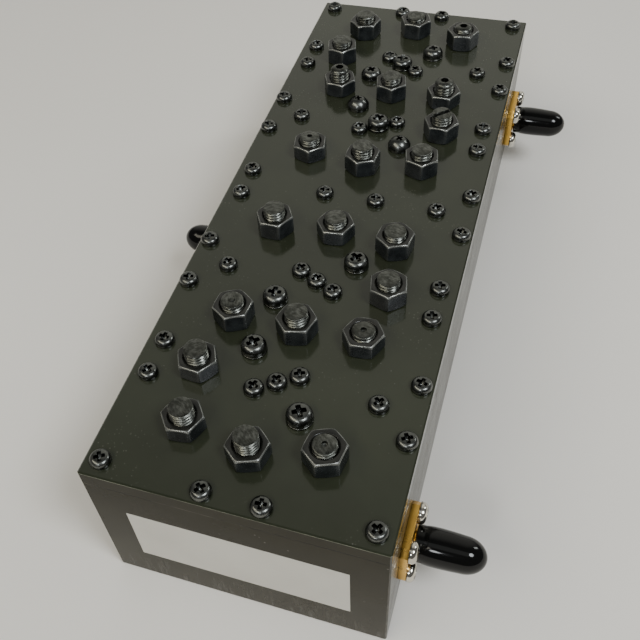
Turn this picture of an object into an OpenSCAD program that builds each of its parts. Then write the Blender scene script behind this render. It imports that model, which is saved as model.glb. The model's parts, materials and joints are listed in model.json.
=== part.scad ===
// Cavity duplexer with three coaxial ports, in millimetres.
// X runs across the body, towards the side with two ports. Y runs along the body.
// Z points up, and the origin is the middle of the underside.

/* [Body] */
// Length of the body, along Y
body_l = 170; // [169:1:190]
// Width of the body, along X
body_w = 60; // [60:1:70]
// Height from the underside to the top of the lid
body_h = 40; // [38:1:50]
// Thickness of the lid
lid_t = 3.8; // [3:0.1:4.5]
// Thickness of the floor under the cavities
floor_t = 5; // [4.5:0.5:7]
// Chamfer on the outer edges
edge_c = 0.3; // [0.1:0.1:0.8]

/* [Cavities] */
// Distance between two rows of cavities
row_pitch = 28; // [27.5:0.5:28.5]
// Distance of the outer cavities from the middle of the body
column_x = 14; // [13.5:0.5:14.5]
// Radius of the outer cavities
cavity_r = 12; // [11:0.5:12.5]
// Radius of the middle cavities
mid_cavity_r = 8; // [7:0.5:8.5]
// Width of the opening between two cavities that follow each other
iris_w = 10; // [8:0.5:11]
// Height of the sill under such an opening
iris_sill = 12; // [6:1:20]
// Width of the slanted windows between two rows
cross_w = 4.6; // [3:0.1:5]

/* [Resonators] */
// Radius of a resonator post
post_r = 4; // [3.8:0.1:5]
// Radius of the bore in the top of a post
post_bore_r = 3.1; // [2.8:0.1:3.3]
// Gap between a post and the lid
post_gap = 3.2; // [2:0.1:5]
// Thickness of the base of a post
post_base_t = 3; // [2:0.5:5]
// Radius of the screw that holds a post
post_screw_r = 1.5; // [1.25:0.25:2]

/* [Tuning screws] */
// Radius of a tuning screw
stud_r = 2.45; // [2:0.05:2.5]
// Length of a tuning screw
stud_l = 16; // [14:1:18]
// Width of a lock nut across its flats
nut_af = 7.7; // [7:0.1:8]
// Height of a lock nut
nut_h = 4.7; // [4.1:0.1:5]
// Height of a thin lock nut
thin_nut_h = 4; // [3:0.1:4.5]
// Radial clearance of a tuning screw in its threads
thread_gap = 0.05; // [0.02:0.01:0.1]

/* [Lid and coupling screws] */
// Head radius of a lid screw
lid_head_r = 2.1; // [1.8:0.05:2.15]
// Head height of a lid screw
lid_head_h = 1.75; // [1.2:0.05:2]
// Thread radius of a lid screw
lid_screw_r = 1.09; // [0.8:0.01:1.1]
// Length of a lid screw under its head
lid_screw_l = 8; // [6:1:10]
// Head radius of a coupling screw
coupling_head_r = 2.7; // [2.2:0.1:2.7]
// Head height of a coupling screw
coupling_head_h = 2.4; // [1.6:0.1:2.6]
// Radius of a domed head
dome_head_r = 2.8; // [2.4:0.1:2.9]
// Height of a domed head
dome_head_h = 3; // [2.5:0.1:3.4]
// Thread radius of a coupling screw
coupling_screw_r = 1.42; // [1:0.02:1.5]
// Length of a coupling screw under its head
coupling_screw_l = 10; // [8:1:12]
// Radius of a washer under a coupling screw
washer_r = 2.75; // [2.6:0.05:2.8]
// Thickness of such a washer
washer_t = 0.4; // [0.2:0.1:0.6]

/* [Ports] */
// Height of the port axes over the underside
port_z = 17; // [14:1:22]
// Distance of the two right ports from the middle of the body
port_y = 70.4; // [69:0.2:71]
// Width of the square flange
flange_w = 12.7; // [12:0.1:14]
// Thickness of the flange
flange_t = 1.65; // [1.4:0.05:2.5]
// Distance of the flange screws from the port axis, across and up
flange_hole = 4.32; // [4:0.02:4.6]
// Radius of the threaded barrel
barrel_r = 3.175; // [3:0.025:3.3]
// Length of the jack in front of its flange
barrel_l = 9.5; // [8:0.5:10]
// Radius of the dust cap in front of the flange screws
cap_r = 4; // [3.8:0.1:4.5]
// Radius of the dust cap where its round tip begins
cap_tip_r = 3.75; // [3.6:0.05:4]
// Length of the dust cap with its tip
cap_l = 14.2; // [13.4:0.2:16]

/* [Label] */
// Width of the bare label on the front
label_w = 45; // [30:1:56]
// Height of the label
label_h = 17.5; // [10:0.5:24]
// Height of the middle of the label over the underside
label_z = 18.9; // [14:0.1:22]

/* [Hidden] */
$fn = 48;
eps = 0.01;
hex = 6;
sides = [-1, 1];

// Levels and rows
top_z = body_h;
seam_z = body_h - lid_t;
rows = [for (i = [0 : 5]) (2.5 - i) * row_pitch];
walls = [for (i = [1 : 5]) (3 - i) * row_pitch];

// The middle cavity of each row is shifted along Y
mid_shift = [3.3, 0.3, -2.2, 1.5, -0.3, -2.8];

// Resonators, row by row from the far end, each row from left to right
resonators_at = [
    for (i = [0 : 5])
        for (c = [-1, 0, 1])
            [c * column_x, rows[i] + (c == 0 ? mid_shift[i] : 0)]
];

// How far each tuning screw stands above its nut
stud_out = [1.7, 0.9, 1.2, 3.1, 1.5, 2.9, 1.5, 2.1, 1.7, 2, 1.4, 1.1, 1.2, 1.9, 0.7, 2.5, 2.9, 0.8];
// Turn of each lock nut, in degrees
nut_turn = [16, 54, 5, 54, 43, 59, 41, 25, 42, 0, 6, 22, 26, 13, 5, 7, 19, 21];
// Resonators whose lock nut is a thin one
thin_nuts = [3, 5, 6, 10, 14, 15, 16];
// Kind of end on each tuning screw
SAWN = 0;
SOCKET = 1;
SLOT = 2;
HOLE = 3;
NUB = 4;
stud_end = [SAWN, SAWN, SOCKET, SOCKET, SAWN, SOCKET, HOLE, SAWN, SAWN, SAWN, SAWN, SAWN,
            NUB, SAWN, HOLE, SAWN, SAWN, HOLE];

// Screws in the openings between cavities: place, height above the nut, turn and end
irises_at = [[-17.3, 56.4], [16, 28.3], [15.9, -28.4], [-16.5, -56.2]];
iris_out = [1.4, 2.2, 1.3, 2.5];
iris_turn = [46, 57, 42, 55];
iris_end = [SAWN, SLOT, SAWN, SAWN];
thin_irises = [3];
// Side and wall of each opening
iris_side = [-1, 1, 1, -1];
iris_wall = [0, 1, 3, 4];
iris_x = 17;

// Coupling screws: place, number of washers, head and turn of the cross recess
PAN = 0;
DOME = 1;
coupling_at = [[7.2, 62.4], [0, 56], [-7.2, 49.6], [-7.2, 35.4], [0, 28], [7, 21.3],
               [7, -21], [-7.2, -35], [-7.2, -49], [6.8, -62.7]];
coupling_washer_count = [1, 1, 0, 0, 2, 0, 1, 1, 1, 1];
coupling_head = [PAN, PAN, PAN, DOME, PAN, DOME, PAN, PAN, PAN, PAN];
coupling_turn = [10, 35, 60, 20, 75, 50, 30, 5, 65, 40];

// Lid screws round the rim: corners, ends, and pairs at each wall
corner_at = [body_w / 2 - 3.5, body_l / 2 - 3.5];
end_at = [5.8, body_l / 2 - 2.5];
narrow_x = body_w / 2 - 4;
narrow_half = 4.3;
wide_x = body_w / 2 - 2.5;
wide_half = 6.5;
inner_x = 20.6;
// Walls with an opening at their outer end carry a narrow pair, the others a wide one
narrow_left = [0, 2, 4];
narrow_right = [1, 3];
// Lid screws on the ribs between the columns
rib_screws = [
    [-6.2, 0], [6.2, 0],
    [-4.2, 58.8], [4.2, 53.4],
    [-4.4, 25.8], [4.4, 30.3],
    [-4.2, -25.8], [0, -28], [4.2, -30.2],
    [-4, -58.5], [0, -56], [4, -53.5]
];
lid_screws_at = concat(
    [for (sx = sides) for (sy = sides) [sx * corner_at[0], sy * corner_at[1]]],
    [for (sx = sides) for (sy = sides) [sx * end_at[0], sy * end_at[1]]],
    [for (i = [0 : 4]) for (s = sides) wall_pair(-1, i, s, narrow_left)],
    [for (i = [0 : 4]) for (s = sides) wall_pair(1, i, s, narrow_right)],
    [for (i = [0 : 4]) if (len(search(i, narrow_left)) == 0) [-inner_x, walls[i]]],
    [for (i = [0 : 4]) if (len(search(i, narrow_right)) == 0) [inner_x, walls[i]]],
    rib_screws
);

// Ports: side, place along Y and depth of the wall behind the flange
port_wall = body_w / 2 - column_x - cavity_r;
common_wall = 6.5;
ports = [[1, port_y, port_wall], [1, -port_y, port_wall], [-1, 0, common_wall]];
port_names = ["far", "near", "common"];

// Fits and small details of the screws
screw_gap = 0.02;
lid_clearance_r = 1.2;
blind_extra = 1;
// Shares of a head's radius or height: shoulder, crown and cross recess
shoulder = 0.4;
crown = 0.04;
dome_crown = 1.07;
recess_reach = 0.62;
recess_w = 0.36;
recess_point = 0.4;
recess_depth = 0.6;
stud_c = 0.4;
nut_sink_r = 2.9;
nut_sink_h = 0.5;
nut_c = 0.4;
socket_af = 2.4;
socket_depth = 2;
slot_w = 0.7;
slot_depth = 0.9;
centre_hole_r = 0.6;
nub_r = 0.9;
nub_h = 0.35;

// Resonator posts and their screws
post_top_z = seam_z - post_gap;
post_screw_head_r = 2.75;
post_screw_head_h = 2;
post_screw_in_floor = 3.2;

// Mounting holes in the underside
mount_x = 25;
mount_y = 80;
mount_r = 1.5;
mount_depth = 8;

// Jack, its inner parts and its screws
flange_c = 1.5;
relief_r = 2.7;
relief_l = 1.6;
barrel_c = 0.3;
dielectric_r = 2.05;
interface_r = 2.3;
interface_l = 1.9;
contact_r = 0.635;
contact_bore_r = 0.47;
contact_bore_l = 2.6;
contact_tail = 2;
flange_head_r = 2.25;
flange_head_h = 1.75;
flange_screw_r = 1.1;
flange_screw_in = 3.3;
tap_r = 1;
tap_sleeve = 1;
fork_r = 0.6;
fork_hub_x = -21;
junction_in_x = -16;
junction_half = 5;

// Dust cap
cap_gap = 0.35;
common_cap_gap = 0.1;
cap_rim_r = 3.75;
cap_rim_l = 1.7;
cap_bore_r = barrel_r + thread_gap;
cap_bore_end = 3.2;
cap_dome_h = 4.6;
cap_lead = 0.2;

// Probes between cavities of two rows, on the slant through the wall
probe_walls = [3, 4];
probe_dir = [1, -1];
probe_r = 0.6;
probe_half = 11.5;
probe_disc_r = 2.2;
probe_disc_t = 0.8;
probe_z = 23;
bush_r = 1.8;
bush_half = 7.4;
window_walls = [0, 1];
window_dir = [1, -1];
window_sill = 18;
window_half = 9;

label_t = 0.1;

function wall_pair(side, i, s, narrow) =
    len(search(i, narrow)) > 0
        ? [side * narrow_x, walls[i] + s * narrow_half]
        : [side * wide_x, walls[i] + s * wide_half];
function two_digits(i) = i < 10 ? str("0", i) : str(i);
function tuning_name(i) = str("tuning_screw_", two_digits(i + 1));
function iris_name(i) = str("iris_screw_", i + 1);
function coupling_name(i) = str("coupling_screw_", two_digits(i + 1));
function nut_height(i, thin) = len(search(i, thin)) > 0 ? thin_nut_h : nut_h;
function cross_recess_turn(i) = (i * 37) % 90;

// Rectangle with its four corners cut off
module cut_rectangle(w, l, c) {
    polygon([
        [w / 2 - c, -l / 2], [w / 2, -l / 2 + c], [w / 2, l / 2 - c], [w / 2 - c, l / 2],
        [-w / 2 + c, l / 2], [-w / 2, l / 2 - c], [-w / 2, -l / 2 + c], [-w / 2 + c, -l / 2]
    ]);
}

// Block with chamfered upright edges, and chamfered top or bottom edges
module block(w, l, z0, z1, c, bottom_c, top_c) {
    module side(d) {
        polygon([
            [d / 2 - bottom_c, z0], [d / 2, z0 + bottom_c], [d / 2, z1 - top_c], [d / 2 - top_c, z1],
            [-d / 2 + top_c, z1], [-d / 2, z1 - top_c], [-d / 2, z0 + bottom_c], [-d / 2 + bottom_c, z0]
        ]);
    }
    intersection() {
        translate([0, 0, z0]) linear_extrude(z1 - z0) cut_rectangle(w, l, c);
        rotate([90, 0, 0]) linear_extrude(l, center = true) side(w);
        rotate([90, 0, 90]) linear_extrude(w, center = true) side(l);
    }
}

// Places the children upright at each point of a list
module at_each(points) {
    for (p = points)
        translate([p[0], p[1], 0]) children();
}

// Places the children on the wall of a port, with Z along the port's axis and pointing out
module at_port(p) {
    translate([p[0] * body_w / 2, p[1], port_z])
        rotate([0, p[0] * 90, 0])
            children();
}

// Places the children at the four screws of a flange
module at_flange_screws() {
    for (sx = sides)
        for (sy = sides)
            translate([sx * flange_hole, sy * flange_hole, 0]) children();
}

// Points X along the slant between two rows, at the middle of a wall
module at_slant(wall, dir) {
    translate([0, walls[wall], 0])
        rotate([0, 0, dir * 45])
            children();
}

// All cavities of the housing, open at the top
module cavities() {
    deep = seam_z - floor_t + eps;
    translate([0, 0, floor_t])
        for (i = [0 : 5]) {
            for (s = sides)
                translate([s * column_x, rows[i], 0]) cylinder(r = cavity_r, h = deep);
            translate([0, rows[i] + mid_shift[i], 0]) cylinder(r = mid_cavity_r, h = deep);
        }
}

// Openings at the outer end of a wall, with a sill
module irises() {
    for (k = [0 : 3])
        translate([iris_side[k] * iris_x - iris_w / 2, walls[iris_wall[k]] - row_pitch / 4, iris_sill])
            cube([iris_w, row_pitch / 2, seam_z - iris_sill + eps]);
}

// Slanted windows under the coupling screws of the two far walls
module cross_windows() {
    for (k = [0 : 1])
        at_slant(window_walls[k], window_dir[k])
            translate([-window_half, -cross_w / 2, window_sill])
                cube([2 * window_half, cross_w, seam_z - window_sill + eps]);
}

// Pocket behind the common port, open to the cavities on both sides
module junction() {
    inner = body_w / 2 - common_wall;
    translate([-inner, -junction_half, iris_sill])
        cube([inner + junction_in_x, 2 * junction_half, seam_z - iris_sill + eps]);
}

// Holes for the parts that pass through a side wall or screw into it
module port_holes(p) {
    at_port(p) {
        translate([0, 0, -p[2] - 1]) cylinder(r = dielectric_r, h = p[2] + 2);
        at_flange_screws()
            translate([0, 0, -flange_screw_in - blind_extra / 2])
                cylinder(r = flange_screw_r + screw_gap, h = flange_screw_in + 1);
    }
}

module housing() {
    color([0.2, 0.2, 0.18])
        difference() {
            block(body_w, body_l, 0, seam_z, edge_c, edge_c, 0);
            cavities();
            irises();
            cross_windows();
            junction();
            at_each(lid_screws_at)
                translate([0, 0, top_z - lid_screw_l - blind_extra])
                    cylinder(r = lid_screw_r + screw_gap, h = lid_screw_l);
            at_each(resonators_at)
                translate([0, 0, floor_t - post_screw_in_floor - blind_extra / 2])
                    cylinder(r = post_screw_r + screw_gap, h = floor_t);
            for (p = ports)
                port_holes(p);
            for (sx = sides)
                for (sy = sides)
                    translate([sx * mount_x, sy * mount_y, -eps])
                        cylinder(r = mount_r, h = mount_depth + eps);
            for (w = probe_walls)
                probe_hole(w);
        }
}

// Slant direction of the probe through a wall
function probe_slant(w) = w == probe_walls[0] ? probe_dir[0] : probe_dir[1];

module probe_hole(w) {
    at_slant(w, probe_slant(w))
        translate([-row_pitch / 2, 0, probe_z])
            rotate([0, 90, 0]) cylinder(r = bush_r, h = row_pitch);
}

module lid() {
    color([0.24, 0.24, 0.21])
        difference() {
            block(body_w, body_l, seam_z, top_z, edge_c, 0, edge_c);
            translate([0, 0, seam_z - eps]) {
                at_each(concat(resonators_at, irises_at))
                    cylinder(r = stud_r + thread_gap, h = lid_t + 2 * eps);
                at_each(coupling_at)
                    cylinder(r = coupling_screw_r + screw_gap, h = lid_t + 2 * eps);
                at_each(lid_screws_at)
                    cylinder(r = lid_clearance_r, h = lid_t + 2 * eps);
            }
        }
}

module label() {
    color("white")
        translate([-label_w / 2, -body_l / 2 - label_t, label_z - label_h / 2])
            cube([label_w, label_t, label_h]);
}

// Head with an upright side, a rounded shoulder and a slightly raised top
module pan_head(r, h) {
    bend = r * shoulder;
    shoulder_z = h * (1 - crown) - bend;
    rotate_extrude()
        polygon(concat(
            [[0, 0], [r, 0]],
            [for (a = [0 : 22.5 : 90]) [r - bend + bend * cos(a), shoulder_z + bend * sin(a)]],
            [[0, h]]
        ));
}

// Head with a short side and a round dome
module dome_head(r, h) {
    intersection() {
        cylinder(r = r, h = h);
        translate([0, 0, h - r * dome_crown]) sphere(r = r * dome_crown);
    }
}

// Cross recess in the top of a head, tapering down to a blunt point
module cross_recess(r, h) {
    depth = h * recess_depth;
    reach = r * recess_reach;
    intersection() {
        translate([0, 0, h - depth]) cylinder(r1 = reach * recess_point, r2 = reach, h = depth + eps);
        for (a = [0, 90])
            rotate([0, 0, a])
                translate([0, 0, h]) cube([2 * r, r * recess_w, 2 * depth], center = true);
    }
}

// Screw with its head on Z = 0
module cross_screw(head, head_r, head_h, shank_r, shank_l, turn) {
    difference() {
        union() {
            if (head == DOME)
                dome_head(head_r, head_h);
            else
                pan_head(head_r, head_h);
            translate([0, 0, -shank_l]) cylinder(r = shank_r, h = shank_l);
        }
        rotate([0, 0, turn]) cross_recess(head_r, head_h);
    }
}

module lid_screws() {
    color([0.12, 0.12, 0.12])
        for (i = [0 : len(lid_screws_at) - 1])
            translate([lid_screws_at[i][0], lid_screws_at[i][1], top_z])
                cross_screw(PAN, lid_head_r, lid_head_h, lid_screw_r, lid_screw_l, cross_recess_turn(i));
}

module coupling_screw(i) {
    domed = coupling_head[i] == DOME;
    head_r = domed ? dome_head_r : coupling_head_r;
    head_h = domed ? dome_head_h : coupling_head_h;
    color([0.12, 0.12, 0.12])
        translate([coupling_at[i][0], coupling_at[i][1], top_z + coupling_washer_count[i] * washer_t])
            cross_screw(coupling_head[i], head_r, head_h,
                        coupling_screw_r, coupling_screw_l, coupling_turn[i]);
}

module coupling_washers() {
    color([0.16, 0.16, 0.15])
        for (i = [0 : 9])
            if (coupling_washer_count[i] > 0)
                for (k = [0 : coupling_washer_count[i] - 1])
                    translate([coupling_at[i][0], coupling_at[i][1], top_z + k * washer_t])
                        difference() {
                            cylinder(r = washer_r, h = washer_t);
                            translate([0, 0, -eps])
                                cylinder(r = coupling_screw_r + screw_gap, h = washer_t + 2 * eps);
                        }
}

// Hexagonal nut on Z = 0, chamfered at its top and bottom and countersunk at its bore
module lock_nut(h) {
    corner_r = nut_af / sqrt(3);
    face_r = nut_af / 2 - eps;
    difference() {
        intersection() {
            cylinder(r = corner_r, h = h, $fn = hex);
            rotate_extrude()
                polygon([[0, 0], [face_r, 0], [corner_r + eps, nut_c],
                         [corner_r + eps, h - nut_c], [face_r, h], [0, h]]);
        }
        translate([0, 0, -eps]) cylinder(r = stud_r + thread_gap, h = h + 2 * eps);
        translate([0, 0, h - nut_sink_h])
            cylinder(r1 = stud_r + thread_gap, r2 = nut_sink_r + eps, h = nut_sink_h + eps);
    }
}

module lock_nuts() {
    color([0.13, 0.13, 0.12]) {
        for (i = [0 : 17])
            translate([resonators_at[i][0], resonators_at[i][1], top_z])
                rotate([0, 0, nut_turn[i]]) lock_nut(nut_height(i, thin_nuts));
        for (i = [0 : 3])
            translate([irises_at[i][0], irises_at[i][1], top_z])
                rotate([0, 0, iris_turn[i]]) lock_nut(nut_height(i, thin_irises));
    }
}

// Tuning screw with its top end on Z = 0
module stud(end) {
    plain_h = stud_l - 2 * stud_c;
    difference() {
        translate([0, 0, -stud_l]) {
            cylinder(r1 = stud_r - stud_c, r2 = stud_r, h = stud_c);
            translate([0, 0, stud_c]) cylinder(r = stud_r, h = plain_h);
            translate([0, 0, stud_c + plain_h]) cylinder(r1 = stud_r, r2 = stud_r - stud_c, h = stud_c);
        }
        if (end == SOCKET)
            translate([0, 0, -socket_depth])
                cylinder(r = socket_af / sqrt(3), h = socket_depth + eps, $fn = hex);
        if (end == HOLE)
            translate([0, 0, -slot_depth]) cylinder(r = centre_hole_r, h = slot_depth + eps);
        if (end == SLOT)
            translate([-stud_r - eps, -slot_w / 2, -slot_depth])
                cube([2 * stud_r + 2 * eps, slot_w, slot_depth + eps]);
    }
    if (end == NUB)
        cylinder(r1 = nub_r, r2 = nub_r / 2, h = nub_h);
}

module tuning_screw(i) {
    z = top_z + nut_height(i, thin_nuts) + stud_out[i];
    color([0.4, 0.4, 0.38])
        translate([resonators_at[i][0], resonators_at[i][1], z])
            rotate([0, 0, nut_turn[i]]) stud(stud_end[i]);
}

module iris_screw(i) {
    z = top_z + nut_height(i, thin_irises) + iris_out[i];
    color([0.4, 0.4, 0.38])
        translate([irises_at[i][0], irises_at[i][1], z])
            rotate([0, 0, iris_turn[i]]) stud(iris_end[i]);
}

module resonators() {
    color([0.8, 0.8, 0.76])
        at_each(resonators_at)
            translate([0, 0, floor_t])
                difference() {
                    cylinder(r = post_r, h = post_top_z - floor_t);
                    translate([0, 0, post_base_t]) cylinder(r = post_bore_r, h = post_top_z);
                    translate([0, 0, -eps]) cylinder(r = post_screw_r + screw_gap, h = post_base_t + 1);
                }
}

module resonator_screws() {
    color([0.55, 0.55, 0.55])
        at_each(resonators_at)
            translate([0, 0, floor_t + post_base_t])
                cross_screw(PAN, post_screw_head_r, post_screw_head_h,
                            post_screw_r, post_base_t + post_screw_in_floor, 0);
}

// Rod with a disc at each end, on the slant through a wall
module coupling_probes() {
    color([0.8, 0.65, 0.3])
        for (w = probe_walls)
            at_slant(w, probe_slant(w))
                translate([0, 0, probe_z])
                    rotate([0, 90, 0]) {
                        cylinder(r = probe_r, h = 2 * probe_half, center = true);
                        for (s = sides)
                            translate([0, 0, s * probe_half])
                                cylinder(r = probe_disc_r, h = probe_disc_t, center = true);
                    }
}

module probe_bushes() {
    color("ivory")
        for (w = probe_walls)
            at_slant(w, probe_slant(w))
                translate([0, 0, probe_z])
                    rotate([0, 90, 0])
                        difference() {
                            cylinder(r = bush_r, h = 2 * bush_half, center = true);
                            cylinder(r = probe_r, h = 2 * bush_half + 1, center = true);
                        }
}

module flange_screws() {
    color([0.75, 0.74, 0.7])
        for (k = [0 : 2])
            at_port(ports[k])
                at_flange_screws()
                    translate([0, 0, flange_t])
                        cross_screw(PAN, flange_head_r, flange_head_h,
                                    flange_screw_r, flange_t + flange_screw_in, 25 + 20 * k);
}

// Panel jack: square flange and threaded barrel in one piece
module jack(k) {
    tip = flange_t + barrel_l;
    color([0.84, 0.63, 0.28])
        at_port(ports[k])
            difference() {
                union() {
                    linear_extrude(flange_t) cut_rectangle(flange_w, flange_w, flange_c);
                    cylinder(r = relief_r, h = flange_t + relief_l + 1);
                    translate([0, 0, flange_t + relief_l])
                        cylinder(r = barrel_r, h = barrel_l - relief_l - barrel_c);
                    translate([0, 0, tip - barrel_c])
                        cylinder(r1 = barrel_r, r2 = barrel_r - barrel_c, h = barrel_c);
                }
                translate([0, 0, -eps]) cylinder(r = dielectric_r, h = tip + 1);
                translate([0, 0, tip - interface_l]) cylinder(r = interface_r, h = interface_l + 1);
                at_flange_screws()
                    translate([0, 0, -eps])
                        cylinder(r = flange_screw_r + screw_gap, h = flange_t + 2 * eps);
            }
}

module dielectric(k) {
    inner = ports[k][2];
    color("ivory")
        at_port(ports[k])
            translate([0, 0, -inner])
                difference() {
                    cylinder(r = dielectric_r, h = inner + flange_t + barrel_l - interface_l);
                    translate([0, 0, -eps]) cylinder(r = contact_r, h = 2 * (inner + barrel_l));
                }
}

module contact(k) {
    inner = ports[k][2] + contact_tail;
    front = flange_t + barrel_l - interface_l;
    color([0.84, 0.63, 0.28])
        at_port(ports[k])
            difference() {
                translate([0, 0, -inner]) cylinder(r = contact_r, h = inner + front);
                translate([0, 0, front - contact_bore_l])
                    cylinder(r = contact_bore_r, h = contact_bore_l + eps);
            }
}

// Wire from a port's contact to its resonators. The common one forks to two.
module tap(k) {
    p = ports[k];
    post_y = p[0] > 0 ? [sign(p[1]) * rows[0]] : [rows[2], rows[3]];
    color([0.8, 0.65, 0.3])
        difference() {
            if (p[0] > 0)
                at_port(p)
                    translate([0, 0, column_x + post_r / 2 - body_w / 2])
                        cylinder(r = tap_r, h = body_w / 2 - column_x - post_r / 2 - p[2] - tap_sleeve);
            else
                fork(p);
            at_port(p)
                translate([0, 0, -p[2] - contact_tail])
                    cylinder(r = contact_r, h = contact_tail + 1);
            for (y = post_y)
                translate([p[0] * column_x, y, 0]) cylinder(r = post_r, h = body_h);
        }
}

module fork(p) {
    hub_out = body_w / 2 - p[2] - tap_sleeve;
    translate([-hub_out, 0, port_z])
        rotate([0, 90, 0]) cylinder(r = tap_r, h = hub_out + fork_hub_x + tap_r);
    for (y = [rows[2], rows[3]])
        translate([fork_hub_x, 0, port_z])
            rotate([0, 90, atan2(y, -column_x - fork_hub_x)])
                cylinder(r = fork_r, h = norm([y, -column_x - fork_hub_x]) - post_r / 2);
}

// Push on cap, narrow between the screws, with its bore and a long round tip
module dust_cap(k) {
    tip_z = cap_l - cap_dome_h;
    outer = concat(
        [[cap_rim_r - cap_lead, 0], [cap_rim_r, cap_lead], [cap_rim_r, cap_rim_l],
         [cap_r, cap_rim_l + 2 * cap_lead]],
        [for (a = [0 : 10 : 90]) [cap_tip_r * cos(a), tip_z + cap_dome_h * sin(a)]]
    );
    inner = [[0, cap_l - cap_bore_end], [cap_bore_r, cap_l - cap_bore_end], [cap_bore_r, cap_lead],
             [cap_bore_r + cap_lead, 0]];
    color([0.1, 0.1, 0.1])
        at_port(ports[k])
            translate([0, 0, flange_t + (ports[k][0] > 0 ? cap_gap : common_cap_gap)])
                rotate_extrude() polygon(concat(outer, inner));
}

housing();
lid();
label();
lid_screws();
lock_nuts();
coupling_washers();
resonators();
resonator_screws();
coupling_probes();
probe_bushes();
flange_screws();
for (i = [0 : 17])
    tuning_screw(i);
for (i = [0 : 3])
    iris_screw(i);
for (i = [0 : 9])
    coupling_screw(i);
for (k = [0 : 2]) {
    jack(k);
    dielectric(k);
    contact(k);
    tap(k);
    dust_cap(k);
}
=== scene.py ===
import json
import math
import random

import bmesh
import bpy
import numpy as np
from mathutils import Euler, Matrix, Vector


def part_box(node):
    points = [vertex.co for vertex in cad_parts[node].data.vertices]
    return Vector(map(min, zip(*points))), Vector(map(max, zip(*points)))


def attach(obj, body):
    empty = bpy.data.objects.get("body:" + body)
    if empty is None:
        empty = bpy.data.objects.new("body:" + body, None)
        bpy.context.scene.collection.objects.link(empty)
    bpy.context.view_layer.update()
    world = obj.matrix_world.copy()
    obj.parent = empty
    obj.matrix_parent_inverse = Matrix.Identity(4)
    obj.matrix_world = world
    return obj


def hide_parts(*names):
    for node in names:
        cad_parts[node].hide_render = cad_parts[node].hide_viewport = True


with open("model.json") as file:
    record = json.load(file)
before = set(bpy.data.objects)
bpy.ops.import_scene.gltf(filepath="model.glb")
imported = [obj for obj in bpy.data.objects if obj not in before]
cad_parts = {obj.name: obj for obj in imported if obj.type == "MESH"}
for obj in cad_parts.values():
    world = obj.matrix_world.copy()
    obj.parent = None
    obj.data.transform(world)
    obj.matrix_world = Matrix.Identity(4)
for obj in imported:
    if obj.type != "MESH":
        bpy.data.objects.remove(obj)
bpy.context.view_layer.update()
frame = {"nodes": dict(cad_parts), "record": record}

MM = 0.001

# Camera, in pixels, millimetres and degrees, fitted to the body's edges, the flanges and the
# screw heads in the 640 by 640 photo
IMAGE = 640
FOCAL_PX = 833.85
CENTRE_PX = (280.21, 323.11)
CAMERA_AT = (39.526, -144.828, 173.902)
CAMERA_TURN = (39.9124, 4.062, 17.9944)
SENSOR = 36.0
# Nearest and furthest that the camera sees, in metres
CLIP = (0.005, 20.0)


def make_camera():
    data = bpy.data.cameras.new("camera")
    data.sensor_width = SENSOR
    data.lens = FOCAL_PX * SENSOR / IMAGE
    data.shift_x = (IMAGE / 2 - CENTRE_PX[0]) / IMAGE
    data.shift_y = (CENTRE_PX[1] - IMAGE / 2) / IMAGE
    data.clip_start, data.clip_end = CLIP
    cam = bpy.data.objects.new("camera", data)
    turn = Euler([math.radians(a) for a in CAMERA_TURN])
    cam.matrix_world = Matrix.LocRotScale(Vector(CAMERA_AT) * MM, turn, None)
    bpy.context.scene.collection.objects.link(cam)
    bpy.context.scene.camera = cam


# Meshes made of rings of points round an axis

def columns(count, more=()):
    """Angles of the points in a ring: evenly spaced, with some more added."""
    even = np.arange(count) * 2 * np.pi / count
    more = np.asarray(more, float) % (2 * np.pi)
    return np.unique(np.round(np.concatenate([even, more]), 6))


def on_both_sides(count, near):
    """The angles in near, to the left and the right of each of a count of even directions."""
    step = 2 * math.pi / count
    return [k * step + side * a for k in range(count) for a in near for side in (1, -1)]


def turned(rows, angles, loop=False):
    """Points, faces and marks of a turned shape. Each row is a radius, a height and maybe a
    mark from 0 to 1, all either numbers or arrays with one value per angle. A radius of 0 is
    one point on the axis."""
    points, rings, faces, marks = [], [], [], []
    n = len(angles)
    for r, z, *mark in rows:
        mark = mark[0] if mark else 0.0
        if np.ndim(r) == 0 and r == 0:
            rings.append([len(points)])
            points.append((0.0, 0.0, float(np.mean(z))))
            marks.append(float(np.mean(mark)))
            continue
        r = np.broadcast_to(r, angles.shape)
        z = np.broadcast_to(z, angles.shape)
        rings.append(list(range(len(points), len(points) + n)))
        points += list(zip(r * np.cos(angles), r * np.sin(angles), z))
        marks += list(np.broadcast_to(mark, angles.shape))
    pairs = list(zip(rings, rings[1:]))
    if loop:
        pairs.append((rings[-1], rings[0]))
    for low, high in pairs:
        for k in range(n):
            j = (k + 1) % n
            if len(low) == 1:
                faces.append((low[0], high[j], high[k]))
            elif len(high) == 1:
                faces.append((low[k], low[j], high[0]))
            else:
                faces.append((low[k], low[j], high[j], high[k]))
    return np.array(points, float), faces, np.array(marks, float)


def arc(r, z, radius, start, end, steps):
    """Rows along an arc with its centre at (r, z), between two angles in degrees: 0 is outward
    and 90 is up."""
    turns = np.radians(np.linspace(start, end, steps + 1))
    return [(r + radius * math.cos(t), z + radius * math.sin(t)) for t in turns]


def hexagon_corner(flat, bend):
    """How far out the rounding of a corner has its centre, and the angle to where it ends."""
    centre = (flat - bend) / math.cos(math.pi / 6)
    return centre, math.atan2(bend / 2, centre + bend * math.cos(math.pi / 6))


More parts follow.
